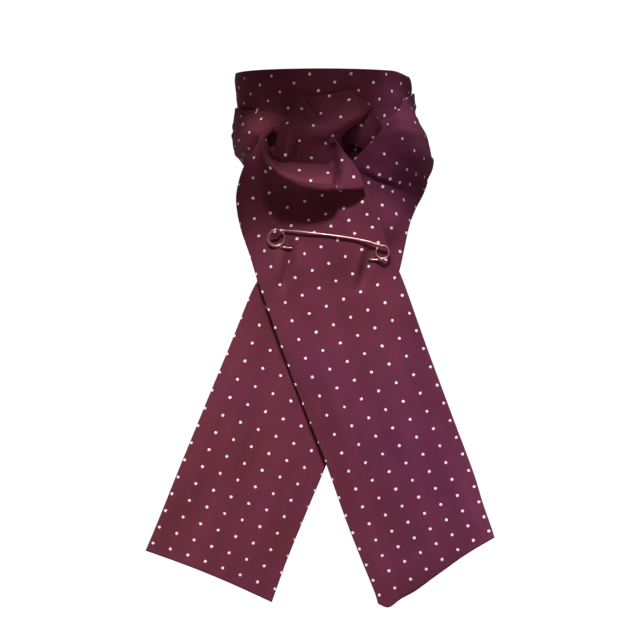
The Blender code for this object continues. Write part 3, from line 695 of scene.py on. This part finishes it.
# ---------------------------------------------------------------------------------------------------------- tails
# Each row: left edge, right edge, crown, and the dots' repeat numbers (across, down) at its left and right edge.
FRONT_TAIL_TOP = [
    [(-38, -50.5, -21), (-33, -53.5, -24), (-27, -56.0, -27), (-13, -63.0, -35.5), (13, -64.8, -31.5)],
    [(-42, -59.5, -26), (-36.5, -64, -28.5), (-29, -68.6, -38), (-12, -69.6, -45.5), (16.5, -71, -47.5)],
    [(-49.5, -55.5, -38.5), (-37, -65, -37.5), (-26, -69.5, -42.5), (-9, -70.5, -47), (20, -71.5, -48)],
]
FRONT_TAIL_TOP_REPEAT = [((-3.0, -7.6), (2.4, -5.5)), ((-3.4, -6.7), (2.8, -4.0)), ((-3.9, -5.9), (3.1, -3.6))]
FRONT_SHOULDER = [
    [(-53.5, -51, -53.5), (-36, -58, -52), (-17, -66, -50.5), (4, -70, -50), (23.5, -72, -49.5)],
    [(-53, -52, -66), (-35, -57.5, -63), (-15, -65, -60), (5, -69.5, -56.5), (26.5, -72.5, -53)],
    [(-50, -54.5, -78.5), (-32, -60, -75), (-12, -66.5, -70.5), (8, -71, -65.5), (29.5, -73, -60)],
    [(-45, -60.5, -92.5), (-27, -65.5, -88), (-7, -69.5, -82.5), (13, -72, -77), (34, -73, -72)],
]
FRONT_SHOULDER_REPEAT = [((-4.15, -4.6), (3.3, -3.1)), ((-4.1, -3.6), (3.4, -2.5)), ((-3.98, -2.5), (3.45, -1.8)), ((-3.99, -1.1), (3.45, -0.2))]
FRONT_TAIL = [
    ((-40.5, -65.8, -107.5), (38.5, -72.5, -85), 2.5, (-4.05, 0.3), (3.42, 1.2)),
    ((-35.5, -67.8, -121.5), (43.5, -71.5, -96.5), 2.0, (-4.05, 1.6), (3.4, 2.3)),
    ((-30, -69, -137), (49, -71, -109), 2.0, (-4.05, 3.0), (3.35, 3.4)),
    ((-17.5, -70.5, -171.5), (61.5, -71, -144), 2.0, (-4.02, 6.0), (3.2, 6.6)),
    ((-8, -71, -195.5), (70.5, -71.5, -168.5), 2.0, (-4.0, 8.05), (3.18, 8.8)),
    ((1, -72, -218), (78.5, -72, -190), 2.0, (-4.0, 10.0), (3.2, 10.8)),
    ((13, -73.5, -252), (91, -73.5, -223.5), 2.0, (-4.08, 13.05), (3.22, 14.1)),
    ((21.5, -74.5, -274), (97, -75.5, -243), 1.5, (-4.13, 15.2), (3.2, 16.15)),
    ((30, -75, -295), (102, -78, -257.5), 1.0, (-4.2, 17.4), (3.2, 17.8)),
]
FRONT_TAIL_HEM = [(33.3, -75, -303), (51, -76, -299.5), (68.8, -77, -287.3), (86.6, -78.5, -274.6), (104, -80, -264)]
FRONT_TAIL_HEM_REPEAT = ((-4.26, 18.6), (3.2, 18.55))
FRONT_TAIL_FOLDS = [
    ([(-27, -48), (-26, -76)], 3.0, -1.6, 2.0),
    ([(-30, -79), (-28, -86)], 3.8, -2.2, 2.0),
    ([(-20, -86), (-21.5, -97), (-25, -112)], 3.0, -3.0, 2.0),
    ([(-15, -87), (-15.5, -103)], 2.6, 1.3, 2.0),
    ([(-27, -90), (-29, -108)], 2.6, 0.8, 2.0),
    ([(27, -89), (25.5, -99), (23, -112)], 2.7, -2.6, 2.0),
    ([(21.5, -92), (19, -108)], 2.8, 0.9, 2.0),
    ([(31, -96), (30, -108)], 2.4, 0.7, 2.0),
    ([(-43, -50), (-45, -78)], 4.0, 1.0, 2.0),
    ([(2, -62), (5, -100)], 8.0, 0.8, 2.0),
    ([(-33, -92), (-29, -118)], 4.0, 0.7, 2.0),
    ([(-2, -154), (10, -190), (20, -226)], 5.0, 0.9, 2.0),
    ([(15, -185), (27, -239), (37, -280)], 4.0, -1.1, 2.0),
    ([(33, -150), (50, -206), (60, -246)], 6.0, 1.0, 2.0),
    ([(52, -131), (69, -187), (78, -226)], 5.0, -1.1, 2.0),
    ([(84, -232), (93, -262)], 4.0, 0.7, 2.0),
]


# The right wrap turns down into the back tail as one cloth. Behind the neck: angles of the top and bottom edge, (outside
# the band, height) from top to bottom, and the repeat number along.
WRAP_RIGHT = [
    (204, 207, (3.5, 9), (3.7, -4), (3.8, -18), (3.6, -31), 39.2),
    (188, 193, (3.4, 10), (3.8, -4), (3.9, -18), (3.6, -32), 37.8),
    (170, 179, (3.4, 10), (3.9, -4), (4.0, -18), (3.6, -33), 36.3),
    (144, 158, (3.2, 10), (3.8, -4), (3.9, -18), (3.3, -34), 34.0),
    (115, 138, (1.3, 10), (3.0, -4), (4.0, -20), (2.6, -37), 31.5),
    (88, 122, (1.0, 10), (3.2, -4), (7.5, -22), (4.0, -40), 29.0),
    (66, 110, (1.0, 6.0), (4.6, -8), (12.0, -27), (5.0, -44), 27.0),
]
# The turn: edge under the knot to the lower edge, at repeats 0 to 6 across, and the repeat number along.
WRAP_TURN = [
    ([(46, -37, -2), (56, -29, -10), (62.5, -17, -18), (66.5, -6, -27), (67.5, 1.5, -35), (64, 7.5, -41.5), (58, 12, -47)], 26.0),
    ([(38.5, -57, -12), (47.5, -54.5, -21), (55.5, -46.5, -28), (62, -34, -32), (67.5, -17, -31.5), (67.5, -4, -38.5), (62, 3, -47)], 25.0),
    ([(29, -61.5, -22.5), (37, -61.3, -30.5), (44.5, -57, -36), (51, -50.5, -39.5), (57, -41, -42), (62.5, -28.5, -43.5), (64.5, -15, -46)], 24.0),
    ([(19.5, -59.5, -32.5), (27.5, -62, -38.5), (34.5, -61.8, -43), (41, -58.8, -45.5), (47, -53, -47.5), (53.5, -44, -48.5), (62.8, -27.5, -51.5)], 23.0),
    ([(14, -58, -37), (23, -60, -42), (31, -60, -45.5), (38.5, -57.5, -48), (44.5, -53, -50.5), (51.5, -45, -53.5), (60, -33.5, -57.5)], 22.5),
    ([(9.5, -57.5, -41), (18.5, -59.8, -45), (28, -60.5, -48), (36.5, -59.5, -50.5), (42.5, -56.5, -53.5), (49.5, -50.5, -58.5), (57, -41, -63)], 22.0),
    ([(-0.5, -57.5, -49.5), (9, -60, -53.5), (18, -61.5, -56), (27, -62.5, -59), (36.5, -62, -62), (45, -59.5, -67.5), (53.5, -52.5, -71.5)], 21.0),
    ([(-10, -57, -58), (-1, -60, -61.5), (9.5, -62, -64), (21.5, -63, -67.5), (34, -63.5, -70.5), (42, -62.5, -76), (51.5, -57.5, -79)], 20.0),
]
BACK_TAIL = [
    ((-24, -57, -67.5), (49, -60, -91), 3.5, (0.0, 18.6), (6.2, 19.0)),
    ((-31, -60, -86), (47, -61.5, -100), 2.5, (0.0, 17.0), (6.4, 18.35)),
    ((-36.5, -62.8, -97), (45, -62.5, -107), 1.5, (0.0, 16.05), (6.5, 17.8)),
    ((-40.5, -63.2, -107.5), (41, -63.5, -120), 1.5, (0.0, 15.1), (6.6, 16.7)),
    ((-45.5, -63.8, -118), (30, -64.5, -148), 1.5, (0.0, 14.15), (6.7, 14.15)),
    ((-57, -65, -147), (18.5, -65.5, -177.5), 1.5, (-0.03, 11.5), (6.86, 11.5)),
    ((-72.5, -66.5, -184.5), (3.5, -67, -216), 1.5, (-0.06, 8.1), (7.0, 8.0)),
    ((-87.5, -68.5, -221), (-11.5, -68.5, -252), 1.5, (-0.12, 4.6), (7.0, 4.4)),
    ((-99.5, -70.5, -251), (-22.5, -70, -279), 1.2, (-0.18, 1.65), (7.02, 1.7)),
    ((-108.5, -72, -272.5), (-31.5, -71.5, -304), 1.0, (-0.24, -0.55), (7.1, -0.75)),
]
BACK_TAIL_FOLDS = [
    ([(38, -74), (32, -100), (26, -118)], 5.0, 0.8, 2.0),
    ([(35, -19), (46, -17), (60, -18)], 3.0, 1.5, 2.0),
    ([(44, -4), (41, -10), (38, -14)], 1.8, 0.5, 2.0),
    ([(30, -30), (42, -38), (54, -42)], 3.4, 0.6, 2.0),
    ([(-50, -150), (-84, -240)], 9.0, 0.9, 2.0),
    ([(-28, -160), (-56, -270)], 8.0, -0.6, 2.0),
]


def numbered(pairs, v, u):
    """Repeat numbers over the sheet from those at the sections' ends."""
    pairs = np.asarray(pairs, float)  # (rows, 2 ends, 2)
    ends = through(pairs, v)
    return ends[:, None, 0] * (1 - u[None, :, None]) + ends[:, None, 1] * u[None, :, None]


WRAP_RIGHT_PLEATS = [
    (0.16, 0.00, 0.27, 0.035, 1.0, 0.04),
    (0.29, 0.03, 0.22, 0.025, -0.25, 0.02),
    (0.41, 0.02, 0.30, 0.045, 1.3, -0.04),
    (0.60, 0.00, 0.21, 0.030, 0.8, 0.05),
    (0.70, 0.06, 0.28, 0.025, -0.25, -0.03),
    (0.84, 0.01, 0.25, 0.040, 1.1, 0.02),
]


# The right wrap's hidden layer, which runs on behind the knot: angle, then (outside the band, height).
WRAP_INNER = [
    (66, (1.4, -2), (2.6, -12), (5.0, -22), (7.5, -33), (9.5, -42)),
    (52, (1.6, -6), (3.5, -13), (6.5, -22), (9.5, -34), (11.5, -44)),
    (39, (2.0, -9), (4.0, -15), (5.5, -23), (7.2, -34), (9.0, -44)),
    (27, (1.8, -12), (2.6, -17), (3.2, -24), (3.0, -35), (2.0, -47)),
    (15, (1.6, -15), (2.0, -19), (1.8, -25), (0.8, -36), (-1.2, -49)),
    (3, (1.5, -17), (1.8, -21), (1.2, -26), (0.0, -37), (-2.2, -50)),
    (-10, (1.5, -18), (1.6, -22), (0.9, -27), (-0.6, -36), (-2.8, -47.5)),
    (-23, (1.2, -18.5), (1.2, -22), (-0.4, -27), (-2.8, -33), (-4.0, -39)),
    (-35, (1.1, -19), (1.1, -22.5), (-0.6, -26), (-3.0, -29), (-4.0, -32)),
]


def wrap_inner():
    sections = [[on_ring(a, out, z) for out, z in points] for a, *points in WRAP_INNER]
    grid, v, u = surface(sections, 1.0 * FINE, 0.6)
    grid = pleated(grid, v, u, [(0.30, 0.05, 0.9, 0.06, 0.5, 0.05), (0.62, 0.1, 0.8, 0.05, 0.5, -0.04)])
    along, across = lengths(grid)
    S = np.broadcast_to(along[:, None], across.shape)
    obj = shell("cloth_wrap_right_inner", grid, turned_repeat(S, -across, 26.0, (3.0, 2.0)), 1.0)
    finish_piece(obj, ["wrap_right"])


def tails():
    sections = FRONT_TAIL_TOP + FRONT_SHOULDER + [span(*r[:3]) for r in FRONT_TAIL] + [FRONT_TAIL_HEM]
    grid, v, u = surface(sections, 1.0 * FINE, 0.75)
    # The hem's rounded corner hangs a little below its line.
    grid[..., 2] -= 4.8 * np.exp(-(((u - 0.085) / 0.085) ** 2))[None, :] * np.exp(-(((1 - v) / 0.03) ** 2))[:, None]
    grid = creased(grid, FRONT_TAIL_FOLDS)
    grid = rippled(grid, 60.0, 0.5, 3)
    grid = rippled(grid, 24.0, 0.14, 5)
    repeat = numbered(FRONT_TAIL_TOP_REPEAT + FRONT_SHOULDER_REPEAT + [r[3:] for r in FRONT_TAIL] + [FRONT_TAIL_HEM_REPEAT], v, u)
    front = shell("cloth_front_tail", grid, repeat, 1.5)
    finish_piece(front, ["front_tail"])

    seven = np.linspace(0, 1, 7)
    sections, repeat_ends = [], []
    for top, bottom, *points, number in WRAP_RIGHT:
        p = through(points, seven)
        sections.append([on_ring(top + (bottom - top) * k, out, z) for k, (out, z) in zip(seven, p)])
        repeat_ends.append(((0, number), (6.1, number)))
    for points, number in WRAP_TURN:
        sections.append(points)
        repeat_ends.append(((0, number), (6.1, number)))
    for left, right, crown, a, b in BACK_TAIL:
        sections.append(span(left, right, crown, seven))
        repeat_ends.append((a, b))
    grid2, v, u = surface(sections, 1.0 * FINE, 0.75)
    grid2[..., 2] += 1.5 * np.sin(math.pi * u)[None, :] * np.exp(-(((1 - v) / 0.02) ** 2))[:, None]
    grid2 = pleated(grid2, v, u, WRAP_RIGHT_PLEATS)
    grid2 = creased(grid2, BACK_TAIL_FOLDS)
    grid2 = creased(grid2, WRAP_BACK_FOLDS, side="back")
    grid2 = rippled(grid2, 60.0, 0.4, 8)
    grid2 = rippled(grid2, 22.0, 0.12, 6)
    repeat = numbered(repeat_ends, v, u)
    back = shell("cloth_right_wrap_and_back_tail", grid2, repeat, 1.4)
    finish_piece(back, ["wrap_right", "back_tail"])
    return grid


# ------------------------------------------------------------------------------------------------------- knot core
# The wad inside the knot is the wrap's end folded in three: (x, y) of its cross-section, and its size up the height.
CORE_FOLD = [(-14.8, -62.6), (-11, -63.4), (-5, -63.4), (-1.4, -62.8), (-0.6, -61.9), (-1.6, -61.0), (-6, -60.8), (-11, -60.9), (-14.6, -61.0),
             (-15.3, -60.0), (-14.4, -59.0), (-10, -58.6), (-5, -58.7), (-1.6, -59.4)]
CORE_HEIGHT = [(-35.5, 0.45), (-31, 0.78), (-26, 0.95), (-20, 1.0), (-14, 0.9), (-9.5, 0.55)]


def knot_core():
    fold = np.array(CORE_FOLD)
    sections = []
    for z, size in CORE_HEIGHT:
        x = -8.0 + (fold[:, 0] + 8.0) * size + 0.3 * math.sin(z)
        y = -61.0 + (fold[:, 1] + 61.0) * (0.72 + 0.28 * size)
        sections.append(np.stack([x, y, np.full(len(fold), z)], -1))
    grid, v, u = surface(sections, 0.8 * FINE, 0.4)
    along, across = lengths(grid)
    S = np.broadcast_to(along[:, None], across.shape)
    obj = shell("cloth_knot_core", grid, turned_repeat(across, S, 20.0, (0, 0)), 0.8)
    finish_piece(obj, ["knot_core"])


# ------------------------------------------------------------------------------------------------------------- pin
WIRE_RADIUS = 0.5
PIN_COIL = (-29.0, -82.0)  # middle of the spring coil, x and z
PIN_LOOP = (36.0, -90.5)  # middle of the catch loop
COIL_LIFT = 4.1
# The wire's runs: x, z, and how far it stands forward of the front tail's middle surface (behind it where negative).
PIN_NEEDLE = [
    (36.5, -95.1, 1.7), (31.5, -95.2, 1.5), (28.8, -95.1, 1.5), (27.4, -95.0, 1.0), (27.0, -95.0, 0.0), (26.6, -95.0, -1.3),
    (25.0, -94.8, -1.8), (20.0, -94.0, -2.0), (4.0, -91.5, -2.2), (-8.0, -89.6, -2.0), (-15.6, -88.4, -1.8), (-18.0, -88.0, -1.2),
    (-18.5, -88.0, 0.0), (-19.1, -88.0, 1.1), (-21.0, -87.8, 1.7), (-24.5, -87.5, 2.0),
]
PIN_BAR = [
    (-25.0, -77.0, 3.4), (-14.0, -78.0, 2.5), (-3.0, -79.3, 1.9), (8.0, -80.7, 1.8), (18.0, -82.2, 1.9), (27.0, -84.0, 2.4), (32.5, -85.8, 2.8),
]


def depth_on(grid, x, z):
    """The middle surface's y at a place seen from the front."""
    d = (grid[..., 0] - x) ** 2 + (grid[..., 2] - z) ** 2
    near = np.argsort(d, axis=None)[:9]
    w = 1 / (0.4 + d.reshape(-1)[near])
    return float((w * grid[..., 1].reshape(-1)[near]).sum() / w.sum())


def turn(middle, radius, start, end, near, far, count, end_radius=None, shift=(0.0, 0.0)):
    """Points round a circle that faces the front, from one depth to another. Angles in degrees, 90 is up."""
    t = np.arange(count + 1) / count
    a = np.radians(start + (end - start) * t)
    r = radius + ((end_radius or radius) - radius) * t
    return np.stack([middle[0] + shift[0] * t + r * np.cos(a), near + (far - near) * t, middle[1] + shift[1] * t + r * np.sin(a)], -1)


def wire(name, path, radius, tip):
    """A round wire along the path, pointed over its first tip mm and with a rounded other end."""
    path = np.asarray(path, float)
    tangent = np.gradient(path, axis=0)
    tangent /= np.linalg.norm(tangent, axis=1, keepdims=True)
    run = np.concatenate([[0], np.cumsum(np.linalg.norm(np.diff(path, axis=0), axis=1))])
    sides = 14
    side = np.cross(tangent[0], (0, 1, 0))
    rings = []
    for k, (p, t) in enumerate(zip(path, tangent)):
        side = side - t * (side @ t)
        side /= np.linalg.norm(side)
        other = np.cross(t, side)
        left = (run[-1] - run[k]) / radius
        r = radius * min(1.0, 0.12 + run[k] / tip) * math.sqrt(max(1 - max(1 - left, 0) ** 2, 0.02))
        a = 2 * math.pi * np.arange(sides) / sides
        rings.append(p + r * (np.cos(a)[:, None] * side + np.sin(a)[:, None] * other))
    points = np.concatenate(rings) * MM
    n = len(path)
    faces = []
    for i in range(n - 1):
        for j in range(sides):
            k = (j + 1) % sides
            faces.append((i * sides + j, i * sides + k, (i + 1) * sides + k, (i + 1) * sides + j))
    faces.append(tuple(range(sides))[::-1])
    faces.append(tuple((n - 1) * sides + j for j in range(sides)))
    mesh = bpy.data.meshes.new(name)
    mesh.from_pydata(points.tolist(), [], faces)
    mesh.validate()
    mesh.update()
    mesh.shade_smooth()
    obj = bpy.data.objects.new(name, mesh)
    bpy.context.scene.collection.objects.link(obj)
    return obj


def stock_pin(grid):
    def run(table):
        return [(x, depth_on(grid, x, z) - lift, z) for x, z, lift in table]

    needle, bar = run(PIN_NEEDLE), run(PIN_BAR)
    coil_y = depth_on(grid, *PIN_COIL) - COIL_LIFT
    coil = turn(PIN_COIL, 5.2, -80, -628, coil_y, coil_y - 2.0, 96, 4.9, (0.5, 0.5))
    loop = turn(PIN_LOOP, 3.95, 98, -222, bar[-1][1] - 0.1, bar[-1][1] + 0.9, 60)
    first = through(needle + [tuple(coil[0]), tuple(coil[4])], np.linspace(0, 1, 220))
    second = through([tuple(coil[-4]), tuple(coil[-1])] + bar + [tuple(loop[0]), tuple(loop[3])], np.linspace(0, 1, 180))
    pieces = [first, coil[5:-4], second, loop[4:]]
    path = np.concatenate(pieces)
    keep = np.concatenate([[True], np.linalg.norm(np.diff(path, axis=0), axis=1) > 0.12])
    obj = wire("stock_pin_wire", path[keep], WIRE_RADIUS, 3.0)
    finish_piece(obj, ["stock_pin"], slot="pin_wire")


neckband()
wrap_left()
knot()
knot_core()
wrap_inner()
stock_pin(tails())

# ------------------------------------------------------------------------------------------------ stage and camera
CAMERA_Z = -131.9
REFERENCE_Y = -70.0
DISTANCE = 2500.0
PER_PIXEL = 0.61
camera_data = bpy.data.cameras.new("camera")
camera_data.sensor_width = 36.0
camera_data.lens = 36.0 * DISTANCE / (640 * PER_PIXEL)
camera_data.clip_end = 50.0
camera = bpy.data.objects.new("camera", camera_data)
camera.location = (-2.1 * MM, (REFERENCE_Y - DISTANCE) * MM, CAMERA_Z * MM)
camera.rotation_euler = (math.radians(90), 0, 0)
bpy.context.scene.collection.objects.link(camera)
bpy.context.scene.camera = camera


def stage_material():
    """A pale studio surface: evenly bright to the lens, and a dim bounce to the cloth."""
    m = bpy.data.materials.new("pale_floor")
    m.use_nodes = True
    t = m.node_tree
    t.nodes.clear()
    out = node(t, "ShaderNodeOutputMaterial")
    mix = node(t, "ShaderNodeMixShader")
    glow = node(t, "ShaderNodeEmission")
    glow.inputs["Color"].default_value = (1.0, 1.0, 1.0, 1)
    glow.inputs["Strength"].default_value = 1.05
    matt = node(t, "ShaderNodeBsdfDiffuse")
    matt.inputs["Color"].default_value = (0.25, 0.205, 0.215, 1)
    ray = node(t, "ShaderNodeLightPath")
    t.links.new(ray.outputs["Is Camera Ray"], mix.inputs[0])
    t.links.new(matt.outputs[0], mix.inputs[1])
    t.links.new(glow.outputs[0], mix.inputs[2])
    t.links.new(mix.outputs[0], out.inputs[0])
    return m


floor_mesh = bpy.data.meshes.new("floor")
s, low = 6.0, -0.40
floor_mesh.from_pydata([(-s, -s, low), (s, -s, low), (s, s, low), (-s, s, low)], [], [(0, 1, 2, 3)])
floor = bpy.data.objects.new("floor", floor_mesh)
bpy.context.scene.collection.objects.link(floor)
floor_mesh.materials.append(stage_material())

world = bpy.data.worlds.new("studio")
bpy.context.scene.world = world
world.use_nodes = True
wt = world.node_tree
background = wt.nodes["Background"]
ray = node(wt, "ShaderNodeLightPath")
strength = node(wt, "ShaderNodeMix", data_type="FLOAT")
strength.inputs[2].default_value = 0.12
strength.inputs[3].default_value = 1.05
wt.links.new(ray.outputs["Is Camera Ray"], strength.inputs[0])
wt.links.new(strength.outputs[0], background.inputs["Strength"])
tone = node(wt, "ShaderNodeMix", data_type="RGBA")
tone.inputs[6].default_value = (1.0, 0.74, 0.76, 1)
tone.inputs[7].default_value = (1.0, 1.0, 1.0, 1)
wt.links.new(ray.outputs["Is Camera Ray"], tone.inputs[0])
wt.links.new(tone.outputs[2], background.inputs["Color"])



def aimed(name, data, place, target, colour, glossy=True):
    data.color = colour
    obj = bpy.data.objects.new(name, data)
    obj.location = place
    # A light shines along its own -Z.
    obj.rotation_euler = (Vector(target) - Vector(place)).to_track_quat("-Z", "Y").to_euler()
    obj.visible_glossy = glossy
    bpy.context.scene.collection.objects.link(obj)


def area_light(name, place, target, size, power, colour=(1, 1, 1), glossy=True):
    data = bpy.data.lights.new(name, "AREA")
    data.shape = "RECTANGLE"
    data.size, data.size_y = size
    data.energy = power
    aimed(name, data, place, target, colour, glossy)


def spot_light(name, place, target, cone, power, colour=(1, 1, 1)):
    data = bpy.data.lights.new(name, "SPOT")
    data.spot_size = math.radians(cone)
    data.spot_blend = 1.0
    data.shadow_soft_size = 0.012
    data.energy = power
    aimed(name, data, place, target, colour, False)


area_light("key", (-0.12, -0.82, 1.20), (0.0, -0.06, -0.18), (0.40, 0.17), 47.0, (1.0, 0.985, 0.97))
area_light("front", (0.10, -1.6, -0.75), (0.0, -0.06, -0.24), (0.5, 0.4), 4.0)
area_light("back", (0.35, 1.3, 0.75), (0.0, 0.05, -0.12), (0.8, 0.6), 15.0, glossy=False)
area_light("back_low", (-0.6, 1.2, -0.1), (0.0, 0.0, -0.16), (0.6, 0.5), 5.0, glossy=False)
spot_light("right_patch", (0.42, -1.00, 0.85), (0.053, -0.040, -0.001), 2.5, 78.0)
spot_light("left_patch", (-0.40, -1.00, 0.85), (-0.042, -0.049, -0.018), 2.0, 74.0)
spot_light("knot", (-0.30, -1.05, 0.75), (0.012, -0.063, 0.002), 3.8, 14.0)

# A flag between the key and the neck shades the band and eases off down to the pin; the lens doesn't see it.
flag_mesh = bpy.data.meshes.new("flag")
flag_edge = [(-0.50, -0.257), (-0.060, -0.257), (-0.040, -0.244), (-0.006, -0.244), (0.008, -0.231), (0.50, -0.231)]
flag_mesh.from_pydata(
    [(x, y, 0.235) for x, y in flag_edge] + [(0.5, 0.2, 0.30), (-0.5, 0.2, 0.30)], [], [tuple(range(len(flag_edge) + 2))]
)
flag = bpy.data.objects.new("flag", flag_mesh)
bpy.context.scene.collection.objects.link(flag)
black = bpy.data.materials.new("flag_black")
black.use_nodes = True
black.node_tree.nodes["Principled BSDF"].inputs["Base Color"].default_value = (0.02, 0.02, 0.02, 1)
flag_mesh.materials.append(black)
flag.visible_camera = False
flag.visible_diffuse = False
flag.visible_glossy = False

bpy.context.scene.view_settings.view_transform = "Standard"
bpy.context.scene.view_settings.look = "None"
